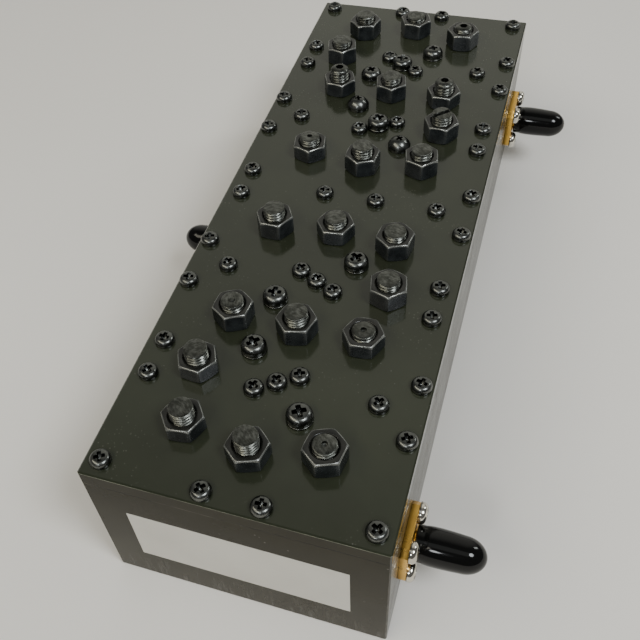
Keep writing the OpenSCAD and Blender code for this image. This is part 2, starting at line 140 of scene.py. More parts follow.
def hexagon(angles, flat, bend):
    """Radius of a hexagon of half width flat, its corners rounded with radius bend."""
    centre, ends = hexagon_corner(flat, bend)
    t = np.abs((angles + math.pi / 6) % (math.pi / 3) - math.pi / 6)
    inside = np.clip(bend ** 2 - (centre * np.sin(t)) ** 2, 0, None)
    rounded = centre * np.cos(t) + np.sqrt(inside)
    return np.where(t < ends, rounded, flat / np.cos(math.pi / 6 - t))


def hexagon_columns(flat, bend):
    ends = hexagon_corner(flat, bend)[1]
    near = list(np.linspace(0, ends, 4)) + list(np.linspace(ends, math.pi / 6, 5))[1:]
    return columns(6, on_both_sides(6, near))


# A higher power makes the inner corners of a cross tighter
CROSS_POWER = 5


def cross(angles, reach, half):
    """Radius of a cross with four arms and rounded inner corners."""
    t = np.abs((angles + math.pi / 4) % (math.pi / 2) - math.pi / 4)
    along = np.minimum(reach / np.cos(t), half / np.maximum(np.sin(t), 1e-6))
    across = half / np.cos(t)
    return (along ** CROSS_POWER + across ** CROSS_POWER) ** (1 / CROSS_POWER)


def cross_columns(reach, half):
    edge = math.atan2(half, reach)
    near = [0, edge * 0.5, edge * 0.85, edge, edge * 1.15]
    near += list(np.linspace(edge * 1.15, math.pi / 4, 5))[1:]
    return columns(4, on_both_sides(4, near))


class Piece:
    """Collects copies of shapes, in millimetres, and makes one object of them. Its points keep
    their place on the shape that they come from, and their mark."""

    def __init__(self, name):
        self.name = name
        self.points, self.faces, self.local, self.marks = [], [], [], []
        self.count = 0

    def add(self, shape, at, turn=0.0, axes=np.eye(3)):
        """Adds a shape, turned about its Z and then laid along three axes."""
        points, faces, marks = shape
        spin = np.array(Matrix.Rotation(turn, 3, "Z"))
        self.local.append(points)
        self.marks.append(marks)
        self.points.append(points @ spin.T @ axes + np.array(at, float))
        self.faces += [tuple(i + self.count for i in face) for face in faces]
        self.count += len(points)

    def make(self, slot, body, node, sharp=40):
        """Makes the object in the place of a CAD node. Edges over sharp degrees stay sharp."""
        mesh = bpy.data.meshes.new(self.name)
        mesh.from_pydata((np.concatenate(self.points) * MM).tolist(), [], self.faces)
        local = mesh.attributes.new("local", "FLOAT_VECTOR", "POINT")
        local.data.foreach_set("vector", (np.concatenate(self.local) * MM).ravel())
        mark = mesh.attributes.new("mark", "FLOAT", "POINT")
        mark.data.foreach_set("value", np.concatenate(self.marks))
        mesh.update()
        bm = bmesh.new()
        bm.from_mesh(mesh)
        bmesh.ops.recalc_face_normals(bm, faces=bm.faces)
        bm.to_mesh(mesh)
        bm.free()
        mesh.shade_smooth()
        mesh.set_sharp_from_angle(angle=math.radians(sharp))
        mesh.materials.append(MATERIALS[slot])
        obj = bpy.data.objects.new(self.name, mesh)
        bpy.context.scene.collection.objects.link(obj)
        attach(obj, body)
        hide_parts(node)


# What the frame says about where things are, in millimetres

def loose_parts(node):
    """Points of each separate solid in a CAD node."""
    bm = bmesh.new()
    bm.from_mesh(frame["nodes"][node].data)
    bmesh.ops.remove_doubles(bm, verts=bm.verts, dist=1e-6)
    bm.verts.ensure_lookup_table()
    seen, parts = set(), []
    for first in bm.verts:
        if first.index in seen:
            continue
        seen.add(first.index)
        stack, part = [first], []
        while stack:
            vert = stack.pop()
            part.append(vert.co[:])
            for edge in vert.link_edges:
                other = edge.other_vert(vert)
                if other.index not in seen:
                    seen.add(other.index)
                    stack.append(other)
        parts.append(np.array(part) / MM)
    bm.free()
    return parts


def span(points):
    """Lowest and highest corner of some points."""
    return points.min(0), points.max(0)


def node_span(node):
    """Lowest and highest corner of a CAD node."""
    lo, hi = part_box(node)
    return np.array(lo) / MM, np.array(hi) / MM


# Materials

# A mix node's sockets for two colours, and the one for their mix
MIX_FIRST = 6
MIX_SECOND = 7
MIX_RESULT = 2
# Noise stays mostly between these
NOISE_LOW = 0.3
NOISE_HIGH = 0.7


class Paint:
    """A material whose shader takes plain numbers, and textures through small node chains."""

    def __init__(self, name, color, roughness, metallic=0.0, specular=0.5):
        self.mat = bpy.data.materials.new(name)
        self.mat.use_nodes = True
        self.nodes = self.mat.node_tree.nodes
        self.links = self.mat.node_tree.links
        self.shader = self.nodes["Principled BSDF"]
        self.bump = None
        self.set("Base Color", color)
        self.set("Roughness", roughness)
        self.set("Metallic", metallic)
        self.set("Specular IOR Level", specular)

    def fill(self, socket, value):
        """Links a socket to another one, or sets it. A colour is three numbers."""
        if isinstance(value, bpy.types.NodeSocket):
            self.links.new(value, socket)
        elif socket.type == "RGBA":
            socket.default_value = (*value, 1)
        else:
            socket.default_value = value

    def set(self, name, value):
        """Fills one of the shader's sockets."""
        self.fill(self.shader.inputs[name], value)

    def add(self, kind, **values):
        """A new node. A value is for the setting of its name, or else for the socket."""
        node = self.nodes.new(kind)
        for key, value in values.items():
            if hasattr(node, key):
                setattr(node, key, value)
            else:
                self.fill(node.inputs[key.replace("_", " ")], value)
        return node

    def place(self):
        """Place in the frame, with the piece at rest, in metres."""
        return self.add("ShaderNodeTexCoord").outputs["Object"]

    def local(self):
        """Place on the shape that a point comes from, in metres."""
        return self.add("ShaderNodeAttribute", attribute_name="local").outputs["Vector"]

    def mark(self):
        """Mark of a point, from 0 to 1."""
        return self.add("ShaderNodeAttribute", attribute_name="mark").outputs["Fac"]

    def part_of(self, vector, axis):
        """X, Y or Z of a vector."""
        return self.add("ShaderNodeSeparateXYZ", Vector=vector).outputs[axis]

    def normal(self, axis):
        """X, Y or Z of the direction in which a face looks."""
        return self.part_of(self.add("ShaderNodeNewGeometry").outputs["Normal"], axis)

    def upward(self):
        """1 on level faces that look up, 0 on upright ones."""
        return self.normal("Z")

    def sideways(self):
        """1 on faces that look along X, 0 on the front, the back and level faces."""
        return self.math("ABSOLUTE", self.normal("X"))

    def level(self):
        """Height above the underside, in metres."""
        return self.part_of(self.place(), "Z")

    def noise(self, scale, detail=3.0, roughness=0.5, vector=None):
        node = self.add("ShaderNodeTexNoise", Scale=scale, Detail=detail, Roughness=roughness)
        self.fill(node.inputs["Vector"], self.place() if vector is None else vector)
        return node.outputs["Fac"]

    def streaks(self, scales, detail=3.0, roughness=0.6, vector=None):
        """Noise with a scale of its own along X, Y and Z."""
        node = self.add("ShaderNodeMapping", Scale=scales)
        self.fill(node.inputs["Vector"], self.place() if vector is None else vector)
        return self.noise(1.0, detail, roughness, node.outputs["Vector"])

    def ramp(self, value, low, high, out_low=0.0, out_high=1.0):
        """Goes from out_low to out_high while a value goes from low to high, and stays there."""
        node = self.add("ShaderNodeMapRange", Value=value, From_Min=low, From_Max=high,
                        To_Min=out_low, To_Max=out_high)
        return node.outputs["Result"]

    def mix(self, share, first, second):
        """First colour where the share is 0, and second where it is 1."""
        node = self.add("ShaderNodeMix", data_type="RGBA", Factor=share)
        self.fill(node.inputs[MIX_FIRST], first)
        self.fill(node.inputs[MIX_SECOND], second)
        return node.outputs[MIX_RESULT]

    def math(self, operation, first, second=0.0):
        node = self.add("ShaderNodeMath", operation=operation)
        self.fill(node.inputs[0], first)
        self.fill(node.inputs[1], second)
        return node.outputs[0]

    def times(self, first, second):
        return self.math("MULTIPLY", first, second)

    def mottle(self, noise, low, high, first, second):
        """Patches of two colours: first where the noise is below low, second above high."""
        return self.mix(self.ramp(noise, low, high), first, second)

    def uneven(self, noise, low, high):
        """Roughness from low to high, as the noise goes."""
        self.set("Roughness", self.ramp(noise, NOISE_LOW, NOISE_HIGH, low, high))

    def relief(self, height, distance, strength=1.0):
        """Bumps of a height from 0 to 1, times a distance in millimetres, on top of earlier ones."""
        node = self.add("ShaderNodeBump", Height=height, Distance=distance * MM, Strength=strength)
        if self.bump is not None:
            self.fill(node.inputs["Normal"], self.bump)
        self.bump = node.outputs["Normal"]
        self.set("Normal", self.bump)


# A speck of dust is full within this share of its size, and patches of dust have this share of the
# scale of the specks
SPECK_FULL = 0.35
DUST_PATCHES = 0.06


def dust(paint, scale, size, base, speck):
    """Fine light specks that lie on a dark surface, thicker in patches."""
    cells = paint.add("ShaderNodeTexVoronoi", Vector=paint.place(), Scale=scale)
    spots = paint.ramp(cells.outputs["Distance"], size, size * SPECK_FULL)
    patches = paint.ramp(paint.noise(scale * DUST_PATCHES), 0.48, 0.68)
    return paint.mix(paint.times(spots, patches), base, speck)


# Heights in metres. The dark line at the seam under the lid fades out between two distances
# above it and two below it. The lid's painted highlight along its upper edge starts a little under its
# top.
SEAM_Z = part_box("lid")[0][2]
SEAM_ABOVE = (0.00007, 0.00017)
SEAM_BELOW = (0.00002, 0.00012)
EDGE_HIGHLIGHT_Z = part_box("lid")[1][2] - 0.0005
EDGE_HIGHLIGHT_FADE = 0.00015
# How far up the body its lighter tone, its stronger gloss and its rub marks reach, and the height
# below which the marks are full
LIGHT_TO_Z = 0.034
GLOSS_TO_Z = 0.037
MARKS_TO_Z = 0.0105
MARKS_FULL_Z = 0.002


def seam_tone(paint):
    """Dark line with a few light streaks in it."""
    dark, light = (0.006, 0.006, 0.005), (0.09, 0.085, 0.065)
    return paint.mottle(paint.streaks((90, 90, 900)), 0.52, 0.64, dark, light)


def side_tone(paint):
    """Brownish black of the upright sides."""
    dark, light = (0.02, 0.018, 0.0105), (0.03, 0.0265, 0.016)
    return paint.mottle(paint.noise(26, 5.0, 0.6), 0.35, 0.65, dark, light)


def long_side_gloss(paint):
    """Gloss of the faces that look along X, and 0 on the others."""
    return paint.ramp(paint.sideways(), 0.5, 0.9, 0.0, 0.3)


def lid_paint():
    p = Paint("lid_paint", (0.024, 0.027, 0.016), 0.14)
    # The bare tone is a painted highlight along the upper edge of the sides
    dark, light, bare = (0.020, 0.023, 0.0135), (0.029, 0.033, 0.020), (0.38, 0.4, 0.31)
    fine_dust, coarse_dust = (0.075, 0.078, 0.06), (0.13, 0.13, 0.115)
    tone = p.mottle(p.noise(22, 5.0, 0.6), 0.35, 0.65, dark, light)
    tone = dust(p, 1000, 0.2, tone, fine_dust)
    tone = dust(p, 420, 0.075, tone, coarse_dust)
    # On the sides, a painted highlight along the upper edge, and the seam
    side = p.ramp(p.upward(), 0.5, 0.3)
    tone = p.mix(side, tone, side_tone(p))
    # Painted highlight: a broken light line in the bare tone along the upper edge, where a rounded edge
    # would catch the light
    edge = p.times(side, p.ramp(p.level(), EDGE_HIGHLIGHT_Z, EDGE_HIGHLIGHT_Z + EDGE_HIGHLIGHT_FADE))
    rubbed = p.times(edge, p.ramp(p.noise(60, 4.0, 0.7), 0.38, 0.6, 0.2, 1.0))
    tone = p.mix(rubbed, tone, bare)
    seam = p.times(side, p.ramp(p.level(), SEAM_Z + SEAM_ABOVE[1], SEAM_Z + SEAM_ABOVE[0]))
    p.set("Base Color", p.mix(seam, tone, seam_tone(p)))
    # Glossy on top, less so on the long sides, and dull on the front and the back
    gloss = p.ramp(p.upward(), 0.3, 0.8, 0.05, 0.5)
    p.set("Specular IOR Level", p.math("MAXIMUM", gloss, long_side_gloss(p)))
    p.uneven(p.noise(70, 5.0, 0.65), 0.1, 0.17)
    p.relief(p.noise(2200, 2.0), 0.0035, 0.5)
    p.relief(p.noise(420), 0.003, 0.5)
    return p.mat


def body_paint():
    p = Paint("body_paint", (0.022, 0.02, 0.014), 0.25, specular=0.1)
    p.set("Specular Tint", (1.0, 0.93, 0.76))
    lower, rubbed, specks = (0.034, 0.03, 0.019), (0.085, 0.08, 0.068), (0.2, 0.19, 0.17)
    tone = p.mix(p.ramp(p.level(), LIGHT_TO_Z, 0.0), side_tone(p), lower)
    # Light upright rub marks along the lower edge
    marks = p.ramp(p.streaks((1100, 1100, 110)), 0.5, 0.7)
    low = p.ramp(p.level(), MARKS_TO_Z, MARKS_FULL_Z)
    tone = p.mix(p.times(low, marks), tone, rubbed)
    tone = dust(p, 480, 0.12, tone, specks)
    seam = p.ramp(p.level(), SEAM_Z - SEAM_BELOW[1], SEAM_Z - SEAM_BELOW[0])
    p.set("Base Color", p.mix(seam, tone, seam_tone(p)))
    gloss = p.ramp(p.level(), 0.0, GLOSS_TO_Z, 0.11, 0.05)
    p.set("Specular IOR Level", p.math("MAXIMUM", gloss, long_side_gloss(p)))
    p.uneven(p.noise(90, 5.0, 0.65), 0.18, 0.3)
    # Fine upright marks from milling, the grain of the finish, and coarser grain on the long sides
    p.relief(p.streaks((900, 900, 60), 4.0), 0.006, 0.6)
    p.relief(p.noise(2600), 0.009, 0.6)
    p.relief(p.times(p.sideways(), p.streaks((1200, 1200, 350), 2.0, 0.5)), 0.2)
    return p.mat


def black_steel(name, tone, lighter, marked, low, high):
    """Thin black finish over steel. It has another tone where its points are marked: on the screws that is
    painted shade in the recess.
    """
    p = Paint(name, tone, low, metallic=1.0)
    patches = p.mottle(p.noise(600), 0.4, 0.75, tone, lighter)
    p.set("Base Color", p.mix(p.mark(), patches, marked))
    p.uneven(p.noise(600, 4.0, 0.6), low, high)
    p.relief(p.noise(1800, 2.0), 0.002, 0.4)
    return p.mat


def nut_steel():
    """Black finish with painted light and shade: lighter, bluish sides and darker tops by the way a face
    looks, and rubbed bare where its points are marked.
    """
    p = Paint("nut_black", (0.01, 0.011, 0.01), 0.25)
    # Painted reflection and shade: the sides get lighter, bluish tones and the tops darker ones
    lit_side_dark, lit_side_light = (0.01, 0.012, 0.0135), (0.027, 0.031, 0.033)
    shaded_top_dark, shaded_top_light = (0.009, 0.0095, 0.008), (0.018, 0.018, 0.015)
    steel = (0.36, 0.37, 0.345)
    side = p.mottle(p.noise(350), 0.35, 0.7, lit_side_dark, lit_side_light)
    top = p.mottle(p.noise(500), 0.4, 0.75, shaded_top_dark, shaded_top_light)
    # Painted shade and reflection: the tone goes from the sides to the tops as a face turns up
    black = p.mix(p.ramp(p.upward(), 0.1, 0.5), side, top)
    bare = p.times(p.mark(), p.ramp(p.noise(260), 0.35, 0.62, 0.5, 1.0))
    p.set("Base Color", p.mix(bare, black, steel))
    p.set("Metallic", bare)
    p.uneven(p.noise(600, 4.0, 0.6), 0.22, 0.32)
    p.relief(p.noise(1600, 2.0), 0.003, 0.4)
    return p.mat


def stud_metal():
    """Darkened steel, sawn at its end and brighter on the crests of the thread."""
    p = Paint("stud_metal", (0.09, 0.092, 0.08), 0.3, metallic=1.0)
    dark, light, crest = (0.062, 0.065, 0.057), (0.165, 0.171, 0.157), (0.17, 0.175, 0.16)
    grain = p.streaks((2200, 700, 700), 4.0, vector=p.local())
    tone = p.mottle(p.times(grain, p.noise(600, 4.0, 0.65)), 0.19, 0.36, dark, light)
    worn = p.times(p.mark(), p.ramp(p.noise(450), 0.35, 0.6, 0.6, 1.0))
    p.set("Base Color", p.mix(worn, tone, crest))
    p.uneven(p.noise(900), 0.26, 0.42)
    # The end is rough, and the rest nearly smooth
    end = p.ramp(p.upward(), 0.75, 0.95)
    p.relief(p.times(end, grain), 0.025, 0.7)
    p.relief(p.times(end, p.noise(900, 4.0, 0.6)), 0.07, 0.8)
    p.relief(p.noise(1500, 2.0), 0.002, 0.4)
    return p.mat


def plated(name, color, dark, low, high):
    p = Paint(name, color, low, metallic=1.0)
    p.set("Base Color", p.mottle(p.noise(160, 4.0), 0.4, 0.75, color, dark))
    p.uneven(p.noise(500, 4.0), low, high)
    p.relief(p.noise(1500, 2.0), 0.003, 0.4)
    return p.mat


def cap_vinyl():
    p = Paint("cap_vinyl", (0.003, 0.003, 0.0028), 0.1, specular=0.3)
    p.uneven(p.noise(250), 0.06, 0.14)
    p.relief(p.noise(150, 2.0), 0.03, 0.3)
    return p.mat


def label_film():
    white, grey = (0.66, 0.64, 0.58), (0.59, 0.57, 0.515)
    p = Paint("label_film", white, 0.34, specular=0.45)
    p.set("Base Color", p.mottle(p.noise(60, 5.0), 0.35, 0.7, white, grey))
    p.relief(p.noise(140), 0.02, 0.25)
    return p.mat


def plain_part(name, color, roughness, metallic=0.0):
    p = Paint(name, color, roughness, metallic)
    darker = tuple(c * 0.82 for c in color)
    p.set("Base Color", p.mottle(p.noise(300, 4.0), 0.35, 0.7, color, darker))
    p.relief(p.noise(1200, 2.0), 0.004, 0.4)
    return p.mat


def floor_paper():
    p = Paint("floor_paper", (0.89, 0.86, 0.8), 0.7)
    light, dark = (0.9, 0.87, 0.815), (0.87, 0.84, 0.79)
    p.set("Base Color", p.mottle(p.noise(6), 0.3, 0.7, light, dark))
    return p.mat


MATERIALS = {
    "black_body": body_paint(),
    "black_lid": lid_paint(),
    "label_film": label_film(),
    # Screws: the third tone is painted shade in the recess
    "black_screws": black_steel("screw_black", (0.115, 0.12, 0.113), (0.15, 0.155, 0.146),
                                (0.026, 0.027, 0.025), 0.23, 0.33),
    "black_nuts": nut_steel(),
    "black_washers": black_steel("washer_black", (0.08, 0.082, 0.075), (0.12, 0.122, 0.11),
                                 (0.12, 0.122, 0.11), 0.18, 0.3),
    "post_metal": plain_part("post_silver", (0.8, 0.8, 0.77), 0.3, 1.0),
    "post_screws": plain_part("post_screw_steel", (0.55, 0.54, 0.52), 0.35, 1.0),
    "tap_wire": plain_part("tap_copper", (0.75, 0.5, 0.25), 0.3, 1.0),
    "white_ptfe": plain_part("ptfe_white", (0.85, 0.84, 0.8), 0.5),
    "nickel_screws": plated("screw_nickel", (0.74, 0.71, 0.63), (0.58, 0.54, 0.45), 0.08, 0.18),
    "stud_steel": stud_metal(),
    "gold_plate": plated("flange_gold", (0.82, 0.5, 0.11), (0.66, 0.38, 0.08), 0.24, 0.38),
    "cap_plastic": cap_vinyl(),
}


def dress_nodes():
    """Every CAD node gets the material of its slot."""
    for entry in frame["record"]["subparts"]:
        mesh = frame["nodes"][entry["node"]].data
        mesh.materials.clear()
        mesh.materials.append(MATERIALS[entry["material_slot"]])


# Screws with a cross recess

# Kinds of head: radii of the crown and of the shoulder as shares of the head's radius, size of the
# recess beside a pan head's, and points on the crown from the shoulder to the recess
HEADS = {"pan": (4.5, 0.52, 1.0, 3), "round": (4.5, 0.62, 0.78, 3), "dome": (1.07, 0.1, 0.55, 8)}
# Foot of a head: share of its radius and of its height
HEAD_FOOT = [(0.95, 0.0), (0.99, 0.03), (1.0, 0.08)]
SHOULDER_ROWS = 8
# Shares of a pan head's radius: reach and half width of the recess, and where the crown ends
RECESS_REACH = 0.6
RECESS_HALF = 0.19
CROWN_EDGE = 0.66
# How far two rows round the recess are from it, as shares of the head's radius
RECESS_RIMS = (0.09, 0.025)
# The recess on its way down: share of its reach, of its half width and of the head's height, and
# how much painted shade darkens it
RECESS_STEPS = [(1.0, 1.0, 0.03, 0.1), (0.97, 0.97, 0.08, 0.27), (0.86, 0.9, 0.34, 1.0),
                (0.7, 0.8, 0.6, 1.0), (0.3, 0.7, 0.72, 0.6)]
# Bottom of the recess: share of the head's height, and its painted shade, less in the middle
RECESS_BOTTOM = (0.78, 0.35)
# Tip of a shank: its radius and height, as shares of the shank's radius
SHANK_TIP_R = 0.7
SHANK_TIP_L = 0.4


def head_rows(r, h, kind):
    """Foot, shoulder and crown of a head, and the height of the crown at a radius."""
    crown_share, shoulder_share, recess, steps = HEADS[kind]
    crown, bend = r * crown_share, r * shoulder_share
    edge = r * CROWN_EDGE * recess
    centre = r - bend
    slope = math.asin(centre / (crown - bend))
    low = h - crown + (crown - bend) * math.cos(slope)

    def top(radius):
        return h - crown + np.sqrt(np.maximum(crown ** 2 - radius ** 2, 0))

    rows = [(r * out, h * up) for out, up in HEAD_FOOT]
    rows += arc(centre, low, bend, 0, 90 - math.degrees(slope), SHOULDER_ROWS)
    if rows[-1][0] > edge:
        rows += [(x, float(top(x))) for x in np.linspace(rows[-1][0], edge, steps)[1:]]
    return rows, top


def screw_shape(r, h, kind, shank_r, shank_l):
    """Screw with the underside of its head at Z = 0."""
    recess = HEADS[kind][2]
    reach, half = r * RECESS_REACH * recess, r * RECESS_HALF * recess
    angles = cross_columns(reach, half)
    mouth = cross(angles, reach, half)
    head, top = head_rows(r, h, kind)
    rows = [(0, -shank_l), (shank_r * SHANK_TIP_R, -shank_l),
            (shank_r, -shank_l + shank_r * SHANK_TIP_L), (shank_r, 0.0)]
    rows += head
    rows += [(mouth + r * rim, top(mouth + r * rim)) for rim in RECESS_RIMS]
    crown = float(top(reach))
    # The mark of each row in the recess is painted shade, which darkens it
    for along, across, down, dark in RECESS_STEPS:
        outline = cross(angles, reach * along, half * across)
        level = top(mouth) * (1 - down) + (crown - down * h) * down
        rows.append((outline, level, dark))
    down, dark = RECESS_BOTTOM
    rows.append((0, crown - down * h, dark))
    return turned(rows, angles)


# Shares of the head's radius: a shank's radius, and how far out a point of the head's rim is
SHANK = 0.5
FLANGE_SHANK = 0.49
RIM = 0.98
LID_SCREW_SEED = 7
FLANGE_SCREW_SEED = 21


def add_screw(piece, part, kind, turn, shank=SHANK, axes=np.eye(3)):
    """Adds a screw in the place of a CAD solid whose head looks along the last of three axes."""
    part = part @ axes.T
    lo, hi = span(part)
    x, y = (lo[:2] + hi[:2]) / 2
    r = (hi[0] - lo[0]) / 2
    rim = part[np.hypot(part[:, 0] - x, part[:, 1] - y) > r * RIM]
    base = rim[:, 2].min()
    shape = screw_shape(r, hi[2] - base, kind, r * shank, base - lo[2])
    piece.add(shape, (x, y, base) @ axes, turn, axes)


def make_lid_screws():
    piece = Piece("lid_screws_detailed")
    rng = random.Random(LID_SCREW_SEED)
    for part in loose_parts("lid_screws"):
        add_screw(piece, part, "pan", rng.uniform(0, math.pi / 2))
    piece.make("black_screws", "body", "lid_screws")


# Turn of the recess of each coupling screw, in radians, and the heads that aren't pan heads
COUPLING_TURNS = [0.35, 0.05, 0.75, 0.4, 0.6, 0.8, 0.85, 0.1, 0.78, 0.5]
COUPLING_HEADS = {1: "round", 3: "round", 4: "dome", 6: "dome"}


def make_coupling_screws():
    for i, turn in enumerate(COUPLING_TURNS, 1):
        node = f"coupling_screw_{i:02d}"
        piece = Piece(node + "_detailed")
        add_screw(piece, loose_parts(node)[0], COUPLING_HEADS.get(i, "pan"), turn)
        piece.make("black_screws", "body", node)


# Soft edge of a washer, as a share of its thickness
WASHER_SOFT = 0.3
WASHER_COLUMNS = 48


def make_washers():
    piece = Piece("coupling_washers_detailed")
    for part in loose_parts("coupling_washers"):
        lo, hi = span(part)
        x, y = (lo[:2] + hi[:2]) / 2
        r, t = (hi[0] - lo[0]) / 2, hi[2] - lo[2]
        bore = np.hypot(part[:, 0] - x, part[:, 1] - y).min()
        soft = t * WASHER_SOFT
        rows = [(bore, 0.0), (r - soft, 0.0), (r, soft), (r, t - soft), (r - soft, t), (bore, t)]
        piece.add(turned(rows, columns(WASHER_COLUMNS), loop=True), (x, y, lo[2]))
    piece.make("black_washers", "body", "coupling_washers", sharp=50)


# Lock nuts, in millimetres

NUT_SLOPE = math.tan(math.radians(30))
NUT_BEND = 0.22
# Shares of a nut's half width: how far out its corners start, and how much further they are full
NUT_CORNER = 1.12
NUT_CORNER_FADE = 0.03
NUT_CORNER_RUBBED = 0.22
# Rounding between a nut's side and its top: inward and down, and how rubbed
NUT_EDGE = [(0.0, 0.32, 0.0), (0.0, 0.27, 0.25), (0.02, 0.17, 0.9), (0.07, 0.082, 1.0),
            (0.15, 0.024, 0.9), (0.26, 0.0, 0.3)]
# Rounding between the chamfer and the round top face: radius beyond the half width, and down.
# Each row lies at least one step further in.
NUT_FACE = [(0.05, 0.03), (-0.02, 0.006), (-0.12, 0.0)]
NUT_FACE_STEP = 0.02
# Countersink: radius and depth of its rim, and its depth at the bore
NUT_SINK = [(3.0, 0.0), (2.93, 0.015), (2.86, 0.07)]
NUT_SINK_DEPTH = 0.5


def nut_shape(flat, h, bore):
    """Nut of half width flat, chamfered above and below, with a countersink above."""
    angles = hexagon_columns(flat, NUT_BEND)
    full = hexagon(angles, flat, NUT_BEND)
    corner = np.clip((full - flat * NUT_CORNER) / (flat * NUT_CORNER_FADE), 0, 1) * NUT_CORNER_RUBBED
    edge = []
    for inward, down, rubbed in NUT_EDGE:
        r = hexagon(angles, flat - inward, NUT_BEND)
        edge.append((r, np.maximum(r - flat, 0) * NUT_SLOPE + down, np.maximum(rubbed, corner)))
    for beyond, down in NUT_FACE:
        r = np.minimum(edge[-1][0] - NUT_FACE_STEP, flat + beyond)
        edge.append((r, np.minimum(edge[-1][1], down)))
    rows = [(bore, 0.0)] + [(r, up) for r, up, *_ in reversed(edge)]
    rows += [(r, h - down, *rubbed) for r, down, *rubbed in edge]
    rows += [(r, h - down) for r, down in NUT_SINK] + [(bore, h - NUT_SINK_DEPTH)]
    return turned(rows, angles, loop=True)


def make_nuts():
    piece = Piece("lock_nuts_detailed")
    for part in loose_parts("lock_nuts"):
        lo, hi = span(part)
        x, y = (lo[:2] + hi[:2]) / 2
        away = part[:, :2] - (x, y)
        reach = np.hypot(away[:, 0], away[:, 1])
        corner = away[reach.argmax()]
        flat = reach.max() * math.cos(math.pi / 6)
        shape = nut_shape(flat, hi[2] - lo[2], reach.min())
        piece.add(shape, (x, y, lo[2]), math.atan2(corner[1], corner[0]))
    piece.make("black_nuts", "body", "lock_nuts", sharp=30)


# Tuning screws, in millimetres

PITCH = 0.794
THREAD_DEPTH = 0.36
# A thread is a wave that is cut off at its crests and roots: how steep the wave is, and how far it
# is lifted, which makes the crests wider than the roots
THREAD_STEEP = 1.2
THREAD_LIFT = 0.1
STUD_SEED = 100
STUD_COLUMNS = 60
ROWS_PER_PITCH = 9
# The lower end is this much narrower, and the thread starts this far above it
TAPER = 0.75
THREAD_FROM = 0.4
# How far in from its outer radius a crest is worn
CREST = 0.1
# The last thread runs out at the end's rim: share of the radius, and how much shallower it is
RUN_OUT = [(0.997, 0.08), (0.985, 0.14), (0.96, 0.22)]
RIM_WORN = 0.8
# Rows between the rim and the middle of an end, which start at this share of the radius
END_ROWS = 10
END_FROM = 0.93
# Kinds of end: depth of the rounding and how square it is, tilt, roughness, and the radius at
# which the middle starts
STUD_ENDS = {
    "sawn": (0.4, 5.0, 0.04, 0.03, 0.3),
    "slot": (0.35, 5.0, 0.1, 0.03, 0.3),
    "nub": (0.5, 4.0, 0.0, 0.03, 0.3),
    "hole": (0.55, 3.6, 0.0, 0.008, 0.636),
    "socket": (1.2, 2.2, 0.0, 0.008, 1.1236),
}
SLOT_HALF = 0.5
SLOT_WALL = 0.12
SLOT_DEEP = 1.0
# Hexagonal socket: half its width, rounding of its corners, and its wall from the top down, as a
# share of the width and a height
SOCKET_HALF = 0.95
SOCKET_BEND = 0.05
SOCKET_WALL = [(1.0, -0.1), (1.0, -1.7), (0.5, -1.8)]
SOCKET_BOTTOM = -1.9
# Middle of each kind of end apart from the socket: radius and height. A nub takes the place of
# the last rows of its end.
STUD_MIDDLES = {
    "sawn": [(0, -0.02)],
    "slot": [(0, -SLOT_DEEP)],
    "nub": [(0.75, -0.03), (0.62, 0.2), (0.3, 0.3), (0, 0.33)],
    "hole": [(0.6, -0.06), (0.576, -0.75), (0, -0.95)],
}
NUB_ROWS = 4
NUB_HEIGHT = 0.35


def thread(angles, z, r, start, pitch=PITCH, depth=THREAD_DEPTH):
    """Radius of a right hand thread with rounded crests and roots."""
    wave = np.cos(2 * math.pi * (z / pitch - angles / (2 * math.pi) + start))
    return r - depth / 2 + depth / 2 * np.clip(wave * THREAD_STEEP + THREAD_LIFT, -1, 1)


def stud_shape(r, length, kind, rng):
    """Threaded screw whose end, of one of the kinds, is at Z = 0."""
    angles = columns(STUD_COLUMNS)
    depth, square, tilt, rough, inner = STUD_ENDS[kind]
    start = rng.random()
    tilt_to = rng.uniform(0, 2 * math.pi)

    def end(share):
        """Height of the end at a share of the radius, tilted a little to one side."""
        drop = depth * (1 - (1 - share ** square) ** (1 / square))
        if kind == "slot":
            away = np.abs(share * r * np.sin(angles))
            drop = drop + SLOT_DEEP * np.clip((SLOT_HALF - away) / SLOT_WALL, 0, 1)
        return -drop - tilt * r * 0.5 * (1 - share * np.cos(angles - tilt_to))

    rows = [(0, -length), (r - TAPER, -length)]
    for z in np.arange(-length + THREAD_FROM, -depth, PITCH / ROWS_PER_PITCH):
        wave = thread(angles, z, r, start)
        rows.append((np.minimum(wave, r - TAPER + (z + length)), z, np.clip((wave - r) / CREST + 1, 0, 1)))
    for share, shallower in RUN_OUT:
        z = end(share)
        rows.append((np.minimum(thread(angles, z, r, start) + shallower, r * share), z, RIM_WORN))
    for share in np.linspace(END_FROM, inner / r, END_ROWS):
        grit = np.array([rng.uniform(-rough, 0) for _ in angles])
        rows.append((r * share, end(share) + grit))
    if kind == "socket":
        wall = hexagon(angles, SOCKET_HALF, SOCKET_BEND)
        rows += [(wall * share, z) for share, z in SOCKET_WALL] + [(0, SOCKET_BOTTOM)]
    else:
        if kind == "nub":
            rows = rows[:-NUB_ROWS]
        rows += STUD_MIDDLES[kind]
    return turned(rows, angles)


STUD_KINDS = {
    "tuning_screw_03": "socket", "tuning_screw_04": "socket", "tuning_screw_06": "socket",
    "tuning_screw_07": "hole", "tuning_screw_13": "nub", "tuning_screw_15": "hole",
    "tuning_screw_18": "hole", "iris_screw_2": "slot",
}


